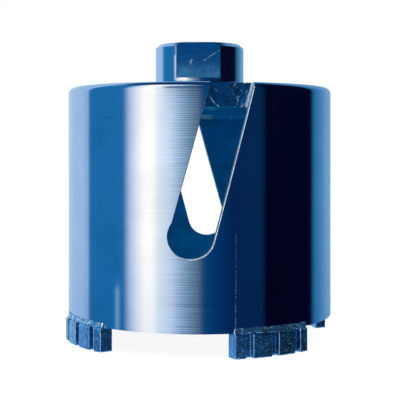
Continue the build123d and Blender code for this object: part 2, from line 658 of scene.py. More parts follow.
@dataclass(frozen=True)
class Finish:
    """A metal finish; each kind below draws its own pattern."""

    name: str
    colour: Colour = (0.20, 0.41, 0.68)
    roughness: float = 0.1
    metallic: float = 1.0
    coat: float = 0.0
    coat_roughness: float = 0.06
    gloss: float = 0.5
    bare: Colour = (0.48, 0.76, 1.0)
    bare_rough: float = 0.42
    marking: float = 0.8
    tones: Pair = (0.95, 1.05)
    scuff: Pair = (0.35 * MM, 0.0)

    def pattern(self, on: Surface) -> Look:
        """Draws the finish on a surface, and returns its look.

        Args:
            on: The surface.

        Returns:
            Its look.
        """
        raise NotImplementedError

    def build(self) -> Material:
        """Makes the material.

        Returns:
            The finished material.
        """
        material = bpy.data.materials.new(self.name)
        material.use_nodes = True
        material.node_tree.nodes.clear()
        on = Surface(material.node_tree)
        look = self.pattern(on)
        values = {
            "Base Color": look.colour,
            "Metallic": look.metallic,
            "Roughness": look.roughness,
            "Specular IOR Level": self.gloss,
            "Coat Weight": self.coat,
            "Coat Roughness": self.coat_roughness,
            "Normal": look.normal,
        }
        shader = on.fed(on.add("ShaderNodeBsdfPrincipled"), values)[0]
        on.plug(shader, on.add("ShaderNodeOutputMaterial").inputs[0])
        return material


@dataclass(frozen=True)
class TurnedSteel(Finish):
    """Turned steel under clear blue lacquer: fine lines around, handling marks, a few scratches,
    rubs, and painted sheen.
    """

    feed: float = 0.6 * MM
    waver: float = 2.2
    swing: float = 0.6
    pitch: float = 0.3 * MM
    reach: float = 18.0 * MM
    depth: float = 0.0007 * MM
    contrast: float = 0.035
    # A strip where the lines swing more, as centre, half width and extra swing: painted sheen where
    # a reflection fades out.
    dry: tuple[float, float, float] = (0.0, 0.001, 0.0)
    radius: float = 40.0 * MM
    scratches: tuple[Mark, ...] = ()
    # Pale streaks in the worn colour: some are rubbed wear, some painted reflections.
    rubbed: tuple[Mark, ...] = ()
    rubbing: float = 0.3
    rubbed_rough: float = 0.5
    worn: Colour = (0.42, 0.72, 0.98)
    cloud_size: float = 14.0 * MM
    clouds: Pair = (0.94, 1.05)

    def turned_tone(self, on: Surface, way: Socket, height: Socket, drift: Socket) -> Socket:
        """Draws the tool's feed lines.

        Args:
            on: The surface.
            way: The way around.
            height: The height.
            drift: The tone of the machined lines, which makes the feed waver.

        Returns:
            The tone, which swings most in the strip of painted sheen, where stronger line contrast
            stands in for a fading reflection.
        """
        centre, half, extra = self.dry
        off = on.math("ABSOLUTE", on.math("SUBTRACT", way, centre * MM))
        strength = on.linear(on.band(off, half * MM, 0.0), extra, self.contrast)
        phase = on.linear(height, math.tau / self.feed, on.times(drift, self.waver))
        swing = on.linear(drift, 2 * self.swing, -self.swing)
        swing = on.linear(on.math("SINE", phase), self.swing, swing)
        return on.linear(swing, strength, 1.0)

    def pattern(self, on: Surface) -> Look:
        """Draws the turned lines, then the marks over them.

        Args:
            on: The surface.

        Returns:
            Its look.
        """
        way, _, height = on.around(self.radius)
        lines = on.lines(height, self.pitch, self.reach)
        tone = self.turned_tone(on, way, height, lines["tone"])
        colour = on.shaded(self.colour, on.times(tone, on.cloud(self.cloud_size, *self.clouds)))
        scratches = [on.scratch(way, height, mark) for mark in self.scratches]
        marks = on.most(on.scuffs(*self.scuff), *scratches)
        colour = on.mix(on.times(marks, self.marking), colour, self.bare)
        rough = on.spread(marks, self.roughness, self.bare_rough)
        # Pale streaks in the worn colour: rubbed wear and painted reflections, as each finish lists
        # them.
        for mark in self.rubbed:
            streak = on.times(on.scratch(way, height, mark), self.rubbing)
            colour = on.mix(streak, colour, self.worn)
            rough = on.spread(streak, rough, self.rubbed_rough)
        return Look(colour, rough, on.bump(lines["height"], self.depth))


@dataclass(frozen=True)
class FacedSteel(Finish):
    """A face turned on a lathe: rings around the drilling axis."""

    bare: Colour = (0.55, 0.68, 0.80)
    bare_rough: float = 0.45
    marking: float = 0.6
    tones: Pair = (0.86, 1.12)
    scuff: Pair = (0.35 * MM, 0.07)
    pitch: float = 0.5 * MM
    reach: float = 24.0 * MM
    depth: float = 0.006 * MM

    def pattern(self, on: Surface) -> Look:
        """Draws the rings and a few handling marks.

        Args:
            on: The surface.

        Returns:
            Its look.
        """
        _, out, _ = on.around(1.0)
        lines = on.lines(out, self.pitch, self.reach)
        marks = on.scuffs(*self.scuff)
        colour = on.shaded(self.colour, on.spread(lines["tone"], *self.tones))
        colour = on.mix(on.times(marks, self.marking), colour, self.bare)
        rough = on.spread(marks, self.roughness, self.bare_rough)
        return Look(colour, rough, on.bump(lines["height"], self.depth))


@dataclass(frozen=True)
class BoreSteel(Finish):
    """The unpolished inside of the barrel: satin, cloudy, with faint draw lines, and a painted
    highlight where one is given.
    """

    # A soft streak of painted highlight, and the colour of its light.
    gleam: Optional[Mark] = None
    light: Colour = (0.06, 0.74, 1.0)
    pitch: float = 1.1 * MM
    reach: float = 20.0 * MM
    depth: float = 0.006 * MM
    cloud_size: float = 9.0 * MM
    clouds: Pair = (0.8, 1.15)
    dulling: float = 0.06

    def pattern(self, on: Surface) -> Look:
        """Draws the cloudy satin and any painted highlight.

        Args:
            on: The surface.

        Returns:
            Its look.
        """
        lines = on.lines(on.split(on.place)[2], self.pitch, self.reach)
        cloud = on.cloud(self.cloud_size, *self.clouds)
        tone = on.times(cloud, on.spread(lines["tone"], *self.tones))
        colour = on.shaded(self.colour, tone)
        rough = on.band(cloud, *self.clouds, self.roughness + self.dulling, self.roughness)
        colour = on.lit(colour, self.gleam, 0.6, self.light)
        return Look(colour, rough, on.bump(lines["height"], self.depth), self.metallic)


@dataclass(frozen=True)
class MilledSteel(Finish):
    """A face left by an end mill: bowed cutter marks, torn specks and bright edges."""

    bare: Colour = (0.55, 0.70, 0.84)
    bare_rough: float = 0.4
    tones: Pair = (0.75, 1.25)
    scuff: Pair = (0.4 * MM, 0.12)
    grains: Pair = (0.55 * MM, 0.16)
    reach: float = 3.0 * MM
    centre: tuple[float, float, float] = (0.0, 0.0, 0.0)
    pitch: float = 0.55 * MM
    depth: float = 0.02 * MM

    def from_centre(self, on: Surface) -> tuple[Socket, Socket]:
        """Returns the way from the cutter's last place, and its length."""
        moved = on.vector_math("SUBTRACT", on.place, tuple(c * MM for c in self.centre))[0]
        return moved, on.vector_math("LENGTH", moved)["Value"]

    def pattern(self, on: Surface) -> Look:
        """Draws the arcs around the cutter's last place, and specks of torn metal.

        Args:
            on: The surface.

        Returns:
            Its look.
        """
        lines = on.lines(self.from_centre(on)[1], self.pitch, self.reach)
        grains = on.grit(*self.grains)["grains"]
        bright = on.most(on.times(grains, 0.55), on.scuffs(*self.scuff))
        colour = on.shaded(self.colour, on.spread(lines["tone"], *self.tones))
        rough = on.spread(bright, self.roughness, self.bare_rough)
        height = on.linear(grains, 0.5, lines["height"])
        colour = on.mix(bright, colour, self.bare)
        return Look(colour, rough, on.bump(height, self.depth), self.metallic)


@dataclass(frozen=True)
class NotchSteel(MilledSteel):
    """The notch's floor: the end mill's last circle, and torn metal towards one wall."""

    bare: Colour = (0.38, 0.72, 0.95)
    bare_rough: float = 0.5
    bare_metallic: float = 0.3
    tones: Pair = (0.8, 1.2)
    clouds: tuple[float, float, float] = (3.0 * MM, 0.6, 1.3)
    grains: Pair = (0.42 * MM, 0.03)
    reach: float = 2.5 * MM
    side: tuple[float, float, float] = (1.0, 0.0, 0.0)
    circle: Mark = Mark(5.95, 0.24, -6.5, -3.2, soft=1.2)
    torn: Pair = (-0.55, 2.95)
    torn_lean: float = -0.75
    torn_size: Pair = (0.55 * MM, 0.9 * MM)

    def pattern(self, on: Surface) -> Look:
        """Draws the circle and the torn streaks over cloudy milled metal.

        Args:
            on: The surface.

        Returns:
            Its look.
        """
        moved, off = self.from_centre(on)
        across = on.vector_math("DOT_PRODUCT", moved, self.side)["Value"]
        rise = on.split(moved)[2]
        lines = on.lines(off, self.pitch, self.reach)
        leaning = on.linear(rise, self.torn_lean, across)
        streaks = on.lines(leaning, *self.torn_size)["height"]
        torn_side = on.band(across, *(edge * MM for edge in self.torn))
        bright = on.most(
            on.scratch(off, rise, self.circle),
            on.times(on.band(streaks, 0.58, 0.68), torn_side),
            on.times(on.grit(*self.grains)["grains"], 0.5),
        )
        tone = on.times(on.cloud(*self.clouds), on.spread(lines["tone"], *self.tones))
        colour = on.mix(bright, on.shaded(self.colour, tone), self.bare)
        rough = on.spread(bright, self.roughness, self.bare_rough)
        normal = on.bump(on.linear(bright, 0.6, lines["height"]), self.depth)
        return Look(colour, rough, normal, on.spread(bright, self.metallic, self.bare_metallic))


@dataclass(frozen=True)
class FlatSteel(Finish):
    """The hub's milled flats: scuffed and paler low down, with a nick and one long scratch."""

    bare: Colour = (0.66, 0.84, 0.96)
    bare_rough: float = 0.5
    tones: Pair = (0.92, 1.08)
    scuff: Pair = (0.3 * MM, 0.09)
    low_scuff: Pair = (0.5 * MM, 0.28)
    scuffed: Pair = (83.0 * MM, 80.5 * MM)
    hazy: Pair = (83.5 * MM, 79.0 * MM)
    clouds: tuple[float, float, float] = (2.4 * MM, 0.1, 1.0)
    pitch: float = 0.7 * MM
    reach: float = 4.0 * MM
    depth: float = 0.002 * MM
    haze: Colour = (0.09, 0.52, 0.96)
    scratch: Mark = Mark(81.79, 0.16, 1.9, 6.3, soft=0.6, whole=0.4)
    scratch_slope: float = 0.65
    nick: Mark = Mark(-2.13, 0.30, 82.1, 83.1, soft=0.2, whole=0.8)
    nick_bend: float = 0.22 * MM
    nick_bends: float = 5200.0

    def pattern(self, on: Surface) -> Look:
        """Draws the cutter's faint lines, the scuffs, a paler and duller band low down, the nick
        and the scratch.

        Args:
            on: The surface.

        Returns:
            Its look.
        """
        x, _, z = on.split(on.place)
        lines = on.lines(z, self.pitch, self.reach)
        low_down = on.band(z, *self.scuffed)
        bend = on.times(on.math("SINE", on.times(z, self.nick_bends)), self.nick_bend)
        marks = on.most(
            on.times(on.scuffs(*self.scuff), 0.5),
            on.times(on.scuffs(*self.low_scuff), low_down, 0.45),
            on.scratch(on.linear(x, -self.scratch_slope, z), x, self.scratch),
            on.scratch(on.math("ADD", x, bend), z, self.nick),
        )
        # Paler and duller towards the bottom of the flat.
        haze = on.times(on.band(z, *self.hazy), on.cloud(*self.clouds))
        colour = on.shaded(self.colour, on.spread(lines["tone"], *self.tones))
        colour = on.mix(on.times(haze, 0.7), colour, self.haze)
        colour = on.mix(marks, colour, self.bare)
        dull = on.most(marks, on.times(haze, 0.45))
        rough = on.spread(dull, self.roughness, self.bare_rough)
        height = on.linear(marks, 1.5, lines["height"])
        return Look(colour, rough, on.bump(height, self.depth))


@dataclass(frozen=True)
class WeldMetal(Finish):
    """Weld and braze metal: smooth swells with brighter crowns, a few specks, and a painted
    highlight where one is given.
    """

    bare: Colour = (0.44, 0.76, 1.0)
    bare_rough: float = 0.12
    tones: Pair = (0.7, 1.3)
    size: float = 0.9 * MM
    speck: float = 0.12
    depth: float = 0.03 * MM
    # A soft streak of painted highlight, and the colour of its light.
    gleam: Optional[Mark] = None
    light: Colour = (0.42, 0.90, 1.0)

    def pattern(self, on: Surface) -> Look:
        """Draws the swells, the specks and any painted highlight.

        Args:
            on: The surface.

        Returns:
            Its look.
        """
        grit = on.grit(self.size, self.speck)
        colour = on.shaded(self.colour, on.cloud(self.size, *self.tones))
        colour = on.mix(grit["grains"], colour, self.bare)
        colour = on.lit(colour, self.gleam, 0.9, self.light)
        rough = on.spread(grit["grains"], self.roughness, self.bare_rough)
        return Look(colour, rough, on.bump(grit["height"], self.depth), self.metallic)


@dataclass(frozen=True)
class GritMatrix(Finish):
    """Sintered matrix with diamond grit: dull, pitted, with pale crystals."""

    bare: Colour = (0.44, 0.72, 0.98)
    bare_rough: float = 0.5
    clouds: tuple[float, float, float] = (1.8 * MM, 0.7, 1.35)
    crystal_rough: float = 0.22
    crystal: Colour = (0.38, 0.66, 0.94)
    grain: float = 0.32 * MM
    share: float = 0.15
    depth: float = 0.04 * MM

    def pattern(self, on: Surface) -> Look:
        """Draws the matrix, its pits and its crystals.

        Args:
            on: The surface.

        Returns:
            Its look.
        """
        grit = on.grit(self.grain, self.share)
        colour = on.shaded(self.colour, on.cloud(*self.clouds))
        colour = on.mix(grit["grains"], colour, self.crystal)
        worn = on.add("ShaderNodeAttribute", attribute_name="worn").outputs["Fac"]
        colour = on.mix(on.times(worn, 0.85), colour, self.bare)
        rough = on.spread(grit["grains"], self.roughness, self.crystal_rough)
        rough = on.band(worn, 0.1, 0.8, rough, self.bare_rough)
        return Look(colour, rough, on.bump(grit["height"], self.depth), self.metallic)


# ---- Shape building ---------------------------------------------------------------------------


def off_axis(point: Vector) -> float:
    """Returns how far a point is from the drilling axis."""
    return math.hypot(point.x, point.y)


def outwards(point: Vector) -> Vector:
    """Returns the level direction from the drilling axis to a point."""
    return Vector((point.x, point.y, 0)).normalized()


def bearing(degrees: float) -> Vector:
    """Returns the level direction at an angle from -Y towards +X."""
    return Vector((math.sin(math.radians(degrees)), -math.cos(math.radians(degrees)), 0))


def sideways(out: Vector) -> Vector:
    """Returns the level direction a quarter turn on from another, around the drilling axis."""
    return Vector((-out.y, out.x, 0))


def facing(centre: Vector, out: Vector, depth: float = 1.0) -> Matrix:
    """Makes the placement of a shape that was drawn flat.

    Args:
        centre: Where its origin goes.
        out: The level direction that its Z axis turns to; its Y axis turns up.
        depth: By how much it is stretched that way.

    Returns:
        The placement.
    """
    turned = Matrix((sideways(out), (0, 0, 1), out * depth)).transposed().to_4x4()
    return Matrix.Translation(centre) @ turned


def drawn_on(shape: Shape, tip: Vert, place: Sequence[float]) -> Vert:
    """Draws an edge from the end of a profile.

    Args:
        shape: The profile.
        tip: Its end.
        place: Where the edge goes.

    Returns:
        The profile's new end.
    """
    end = bmesh.ops.extrude_vert_indiv(shape, verts=[tip])["verts"][0]
    end.co = place
    return end


def swept(
    shape: Shape, tip: Vert, centre: Sequence[float], axis: Sequence[float], angle: float,
    steps: int,
) -> Vert:
    """Draws an arc from the end of a profile.

    Args:
        shape: The profile.
        tip: Its end.
        centre: The arc's centre.
        axis: What it turns around.
        angle: How far it turns, in radians.
        steps: How many edges it has.

    Returns:
        The profile's new end.
    """
    made = bmesh.ops.spin(shape, geom=[tip], cent=centre, axis=axis, angle=angle, steps=steps)
    return next(part for part in made["geom_last"] if isinstance(part, Vert))


class Turning:
    """A profile drawn beside the drilling axis in millimetres, then turned around it."""

    def __init__(self, radius: float, height: float) -> None:
        """Starts the profile at one point.

        Args:
            radius: The point's distance from the axis.
            height: Its height.
        """
        self.shape: Shape = bmesh.new()
        self.first = self.shape.verts.new((radius, 0, height))
        self.tip = self.first

    def to(self, radius: float, height: float) -> "Turning":
        """Draws a straight run to a point."""
        self.tip = drawn_on(self.shape, self.tip, (radius, 0, height))
        return self

    def round(self, radius: float, height: float, degrees: float, steps: int) -> "Turning":
        """Draws an arc.

        Args:
            radius: The radius at which its centre lies.
            height: The centre's height.
            degrees: How far it goes, from outwards to upwards where that is positive.
            steps: How many edges it has.

        Returns:
            The same turning.
        """
        angle = -math.radians(degrees)
        self.tip = swept(self.shape, self.tip, (radius, 0, height), (0, 1, 0), angle, steps)
        return self

    def swell(self, start: Pair, end: Pair, rise: float, steps: int = 6) -> None:
        """Draws a bowed run.

        Args:
            start: Where the profile stands, as radius and height.
            end: Where it goes.
            rise: How far the middle bows out to the right, as a share of the run's length.
            steps: How many edges it has.
        """
        along, up = end[0] - start[0], end[1] - start[1]
        for step in range(1, steps + 1):
            share = step / steps
            bow = 4 * share * (1 - share) * rise
            self.to(start[0] + along * share + up * bow, start[1] + up * share - along * bow)

    def turned(self, steps: int) -> Shape:
        """Closes the profile and turns it all the way around.

        Args:
            steps: How many steps the turn has.

        Returns:
            The closed shape, with its faces outwards.
        """
        shape = self.shape
        shape.edges.new((self.tip, self.first))
        bmesh.ops.spin(
            shape, geom=shape.verts[:] + shape.edges[:], cent=(0, 0, 0), axis=(0, 0, 1),
            angle=math.tau, steps=steps, use_merge=True,
        )
        bmesh.ops.remove_doubles(shape, verts=shape.verts, dist=1e-5)
        bmesh.ops.recalc_face_normals(shape, faces=shape.faces)
        return shape


class Bench:
    """Work on whole shapes: cutting, remeshing, easing and placing them."""

    @staticmethod
    def lay(shape: Shape) -> Object:
        """Puts a shape into an object in the scene, and frees the shape.

        Args:
            shape: The shape.

        Returns:
            The object.
        """
        mesh = bpy.data.meshes.new("blank")
        shape.to_mesh(mesh)
        shape.free()
        blank = bpy.data.objects.new("blank", mesh)
        bpy.context.scene.collection.objects.link(blank)
        return blank

    @staticmethod
    def lift(blank: Object, extra: Sequence[Object] = ()) -> Shape:
        """Takes an object's finished shape, and removes the object from the scene.

        Args:
            blank: The object.
            extra: Objects that its modifiers use, which are removed as well.

        Returns:
            The shape.
        """
        evaluated = blank.evaluated_get(bpy.context.evaluated_depsgraph_get())
        mesh = bpy.data.meshes.new_from_object(evaluated)
        shape = bmesh.new()
        shape.from_mesh(mesh)
        bpy.data.meshes.remove(mesh)
        for used in (blank, *extra):
            old = used.data
            bpy.data.objects.remove(used)
            bpy.data.meshes.remove(old)
        return shape

    @classmethod
    def carve(cls, shape: Shape, cutters: Sequence[Shape]) -> Shape:
        """Cuts closed shapes out of another.

        Args:
            shape: What is cut.
            cutters: What is taken away, one after the other.

        Returns:
            What is left.
        """
        blank = cls.lay(shape)
        tools = [cls.lay(cutter) for cutter in cutters]
        for tool in tools:
            cut = blank.modifiers.new("cut", "BOOLEAN")
            cut.operation = "DIFFERENCE"
            cut.solver = "EXACT"
            cut.object = tool
        return cls.lift(blank, tools)

    @classmethod
    def remeshed(cls, node: str, voxel: float) -> Shape:
        """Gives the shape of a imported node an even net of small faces.

        Args:
            node: The node's name.
            voxel: The size of the faces, in millimetres.

        Returns:
            The shape, in millimetres.
        """
        shape = bmesh.new()
        shape.from_mesh(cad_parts[node].data)
        bmesh.ops.scale(shape, vec=(1 / MM,) * 3, verts=shape.verts)
        bmesh.ops.remove_doubles(shape, verts=shape.verts, dist=1e-4)
        blank = cls.lay(shape)
        net = blank.modifiers.new("net", "REMESH")
        net.mode = "VOXEL"
        net.voxel_size = voxel
        net.use_smooth_shade = True
        return cls.lift(blank)

    @staticmethod
    def eased(
        shape: Shape, edges: Sequence[Edge], width: float, segments: int, clamp: bool
    ) -> list[Face]:
        """Breaks sharp edges.

        Args:
            shape: The shape.
            edges: Its sharp edges.
            width: How wide the break is, in millimetres.
            segments: How many strips it has.
            clamp: Whether it gets narrower where there is no room for it.

        Returns:
            The faces of the broken edges.
        """
        made = bmesh.ops.bevel(
            shape, geom=edges, offset=width, offset_type="OFFSET", segments=segments,
            profile=0.5, affect="EDGES", material=-1, clamp_overlap=clamp,
        )
        return made["faces"]

    @staticmethod
    def place(
        shape: Shape,
        name: str,
        finishes: Sequence[Material],
        slot: str,
        nodes: Sequence[str],
        rule: Optional[NormalRule] = None,
        sharp: float = 35.0,
        flat_from: float = 1.5,
    ) -> None:
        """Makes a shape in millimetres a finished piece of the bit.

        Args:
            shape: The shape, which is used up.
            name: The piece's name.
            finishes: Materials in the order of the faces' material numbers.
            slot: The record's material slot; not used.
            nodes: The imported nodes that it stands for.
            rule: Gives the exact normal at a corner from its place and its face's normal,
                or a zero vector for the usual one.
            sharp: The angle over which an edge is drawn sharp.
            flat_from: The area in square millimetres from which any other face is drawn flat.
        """
        bmesh.ops.scale(shape, vec=(MM,) * 3, verts=shape.verts)
        mesh = bpy.data.meshes.new(name)
        shape.to_mesh(mesh)
        shape.free()
        for finish in finishes:
            mesh.materials.append(finish)
        mesh.shade_smooth()
        mesh.set_sharp_from_angle(angle=math.radians(sharp))
        if rule is not None:
            corners = []
            for face in mesh.polygons:
                plain = face.normal if face.area > flat_from * MM * MM else Vector((0, 0, 0))
                for corner in face.loop_indices:
                    exact = rule(mesh.vertices[mesh.loops[corner].vertex_index].co, face.normal)
                    corners.append(exact if exact.length_squared > 0 else plain)
            mesh.normals_split_custom_set(corners)
        piece = bpy.data.objects.new(name, mesh)
        bpy.context.scene.collection.objects.link(piece)
        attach(piece, BODY)
        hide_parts(*nodes)
        LOG.info("%s: %d faces, stands for %s", name, len(mesh.polygons), ", ".join(nodes))


def round_wall(*radii: float) -> NormalRule:
    """Makes the rule for exact normals on walls around the axis.

    Args:
        radii: The walls' radii, in millimetres.

    Returns:
        A rule that leaves all other faces as they are.
    """

    def rule(place: Vector, normal: Vector) -> Vector:
        """Gives the exact normal on a wall of one of the radii.

        Args:
            place: The corner's place, in metres.
            normal: The normal of its face.

        Returns:
            The exact normal, or a zero vector on any other face.
        """
        distance = off_axis(place) / MM
        out = outwards(place)
        lean = normal.dot(out)
        if abs(lean) > 0.998 and any(abs(distance - radius) < NEAR for radius in radii):
            return out * math.copysign(1.0, lean)
        return Vector((0, 0, 0))

    return rule


# ---- Sub-assemblies ---------------------------------------------------------------------------


@dataclass(frozen=True)
class SlotCut:
    """The slanted pass of the milling cutter that opens the barrel's side, twice."""

    azimuth: float = 12.0
    turns: int = 2
    width: float = 12.0
    slant: float = 15.0
    end_height: float = 33.05
    end_offset: float = -8.9
    floor: float = 33.8
    pilot: float = 12.2
    pilot_shift: float = -0.3
    top: float = 82.0
    depth: float = 12.0
    steps: int = 56

    def axis(self, turn: int) -> Vector:
        """Returns the direction that the cutter points away from, outwards."""
        return bearing(self.azimuth + turn * 360 / self.turns)

    def outline(self) -> Shape:
        """Draws the slot's outline around its lower end: two arcs and two straight sides.

        Returns:
            The outline, flat, and filled with one face.
        """
        half, drill, lean = self.width / 2, self.pilot / 2, math.radians(self.slant)
        shift = Vector((self.pilot_shift, 0, 0))
        meet_x = (half**2 + shift.x**2 - drill**2) / (2 * shift.x)
        meet = Vector((meet_x, -math.sqrt(half**2 - meet_x**2), 0))
        side = Vector((-half * math.cos(lean), half * math.sin(lean), 0)) - shift
        up = Vector((math.sin(lean), math.cos(lean), 0))
        along = side.dot(up)
        start = side + up * (math.sqrt(along**2 - side.length_squared + drill**2) - along)
        first_angle = math.atan2(start.y, start.x)
        last = meet - shift
        last_angle = math.atan2(last.y, last.x) + math.tau
        shape = bmesh.new()
        begin = tip = shape.verts.new(start + shift)
        for centre, sweep, steps in (
            (shift, last_angle - first_angle, self.steps),
            ((0, 0, 0), -lean - math.atan2(meet.y, meet.x), self.steps // 3),
        ):
            tip = swept(shape, tip, centre, (0, 0, 1), sweep, steps)
        for end in (tip, begin):
            rise = self.top - self.end_height - end.co.y
            drawn_on(shape, end, end.co + up * (rise / up.y))
        bmesh.ops.holes_fill(shape, edges=shape.edges)
        bmesh.ops.contextual_create(shape, geom=[v for v in shape.verts if len(v.link_edges) == 1])
        bmesh.ops.contextual_create(shape, geom=shape.edges)
        return shape

    def cutter(self, turn: int) -> Shape:
        """Makes the solid that one pass takes away.

        Args:
            turn: Which of the slots it is.

        Returns:
            A closed prism along the cutter's direction.
        """
        shape = self.outline()
        made = bmesh.ops.extrude_face_region(shape, geom=shape.faces[:])
        raised = [part for part in made["geom"] if isinstance(part, Vert)]
        bmesh.ops.translate(shape, verts=raised, vec=(0, 0, self.depth))
        bmesh.ops.recalc_face_normals(shape, faces=shape.faces)
        centre = self.on_floor(turn, self.end_offset, self.end_height)
        bmesh.ops.transform(shape, matrix=facing(centre, self.axis(turn)), verts=shape.verts)
        return shape

    def on_floor(self, turn: int, across: float, height: float) -> Vector:
        """Returns a point of the plane that the cutter's tip runs in."""
        out = self.axis(turn)
        return out * self.floor + sideways(out) * across + Vector((0, 0, height))

    def cutters(self) -> list[Shape]:
        """Makes the solids that all the passes take away."""
        return [self.cutter(turn) for turn in range(self.turns)]

    def is_cut(self, face: Face) -> bool:
        """Tells whether a face was left by the cutter.

        Args:
            face: The face, in millimetres.

        Returns:
            True on a floor of a slot and on its walls.
        """
        centre = face.calc_center_median()
        lean = math.radians(self.slant)
        for turn in range(self.turns):
            out = self.axis(turn)
            depth, turned = centre.dot(out) - self.floor, face.normal.dot(out)
            if abs(depth) < 0.01 and turned > 0.99:
                return True
            if depth < -0.01 or abs(turned) > 0.02:
                continue
            across = centre.dot(sideways(out)) - self.end_offset
            raised = centre.z - self.end_height
            off = abs(across * math.cos(lean) - raised * math.sin(lean))
            near = math.hypot(across, raised)
            if abs(off - self.width / 2) < 0.15 or near < self.pilot / 2 + 0.45:
                return True
        return False

    def rims(self, shape: Shape) -> list[Edge]:
        """Returns the edges of a shape where the cutter's faces end."""
        edges = [edge for edge in shape.edges if len(edge.link_faces) == 2]
        return [edge for edge in edges if len({self.is_cut(f) for f in edge.link_faces}) == 2]


class Wall(IntEnum):
    """The barrel's finishes, by material number."""

    OUTSIDE, BORE, CUT, BARE_EDGE, DARK_EDGE = range(5)


@dataclass
class Barrel:
    """The turned cup's wall, with its rounded rim and its two milled slots."""

    slots: SlotCut
    radius: float = 40.0
    bore: float = 38.0
    bottom: float = 6.85
    top: float = 75.05
    rim: float = 1.8
    steps: int = 288
    deburr: float = 0.2
    inner_deburr: float = 0.12

    def finishes(self) -> list[Material]:
        """Makes the finishes: outside, bore, slot walls, and the slots' two kinds of edge: bare
        with a painted highlight, and painted shade.

        Returns:
            The finishes, in the order of the faces' material numbers.
        """
        turn = math.radians(self.radius)
        kinds = (
            TurnedSteel(
                # The lines swing more around -1 degree: painted sheen where the key light's
                # reflection fades.
                "barrel_lacquer", coat=0.35, dry=(-1.0 * turn, 12.0 * turn, 0.26),
                scratches=(
                    Mark(16.05 * turn, 0.26, 8.0, 18.0),
                    Mark(16.25 * turn, 0.17, 17.0, 33.0),
                ),
                # The pale streak at -32.7 degrees, low down, is a painted reflection.
                rubbing=0.5, rubbed=(Mark(-32.7 * turn, 2.3, 6.0, 17.0, soft=6.0, whole=1.0),),
            ),
            BoreSteel("bore_satin", (0.004, 0.40, 0.78), 0.4, metallic=0.0, gloss=0.05),
            MilledSteel("slot_wall", (0.16, 0.42, 0.66), 0.4, metallic=0.4),
            # The slots' eased edges: bare metal with a painted highlight on the side towards the
            # light, painted shade on the other.
            MilledSteel("bare_painted_lit_edge", (0.72, 0.90, 1.0), 0.3, metallic=0.35, depth=0.03 * MM),
            MilledSteel("painted_shade_edge", (0.02, 0.09, 0.17), 0.4, metallic=0.4),
        )
        return [kind.build() for kind in kinds]

    def ease_edges(self, shape: Shape) -> None:
        """Breaks the sharp edges that the cutter left, outside and in, and paints them lit or in
        shade by the way they face.

        Args:
            shape: The cut wall.
        """
        for radius, width in ((self.radius, self.deburr), (self.bore, self.inner_deburr)):
            edges = [
                edge for edge in self.slots.rims(shape)
                if all(abs(off_axis(vert.co) - radius) <= 0.06 for vert in edge.verts)
            ]
            LOG.info("barrel: %d edges eased at radius %.1f", len(edges), radius)
            eased = Bench.eased(shape, edges, width, 3, clamp=False)
            shape.normal_update()
            for face in eased:
                # Edges facing away from the light take painted shade; the others take bare metal
                # with a painted highlight.
                face.material_index = Wall.DARK_EDGE if self.faces_on(face) else Wall.BARE_EDGE

    @staticmethod
    def faces_on(face: Face) -> bool:
        """Tells whether an eased edge faces the way that the bit's azimuth grows: those take
        painted shade.
        """
        return face.normal.dot(sideways(outwards(face.calc_center_median()))) > 0.12

    def build(self) -> None:
        """Builds the wall and places it."""
        shoulder = self.top - self.rim
        profile = Turning(self.bore, self.bottom).to(self.radius, self.bottom)
        profile.to(self.radius, shoulder).round(self.radius - self.rim, shoulder, 90, 8)
        profile.to(self.bore, self.top)
        shape = Bench.carve(profile.turned(self.steps), self.slots.cutters())
        for face in shape.faces:
            if self.slots.is_cut(face):
                face.material_index = Wall.CUT
            elif face.normal.dot(outwards(face.calc_center_median())) < -0.9:
                face.material_index = Wall.BORE
        self.ease_edges(shape)
        rule = round_wall(self.radius, self.bore)
        Bench.place(shape, "barrel_shell", self.finishes(), "barrel_steel", ("barrel",), rule)


def underside(name: str) -> Finish:
    """Returns the finish of the cup's ceiling, with a soft painted highlight in front."""
    return BoreSteel(name, (0.004, 0.34, 0.72), 0.6, metallic=0.0, gloss=0.0,
                     # Painted highlight: a soft light streak on the front part of the ceiling.
                     gleam=Mark(3.9, 3.0, -36.0, -14.0, soft=8.0, whole=1.0))


class Disc(IntEnum):
    """The end plate's finishes, by material number; each notch has its own floor."""

    FACE, UNDERSIDE, NOTCH_WALL, FIRST_FLOOR = range(4)


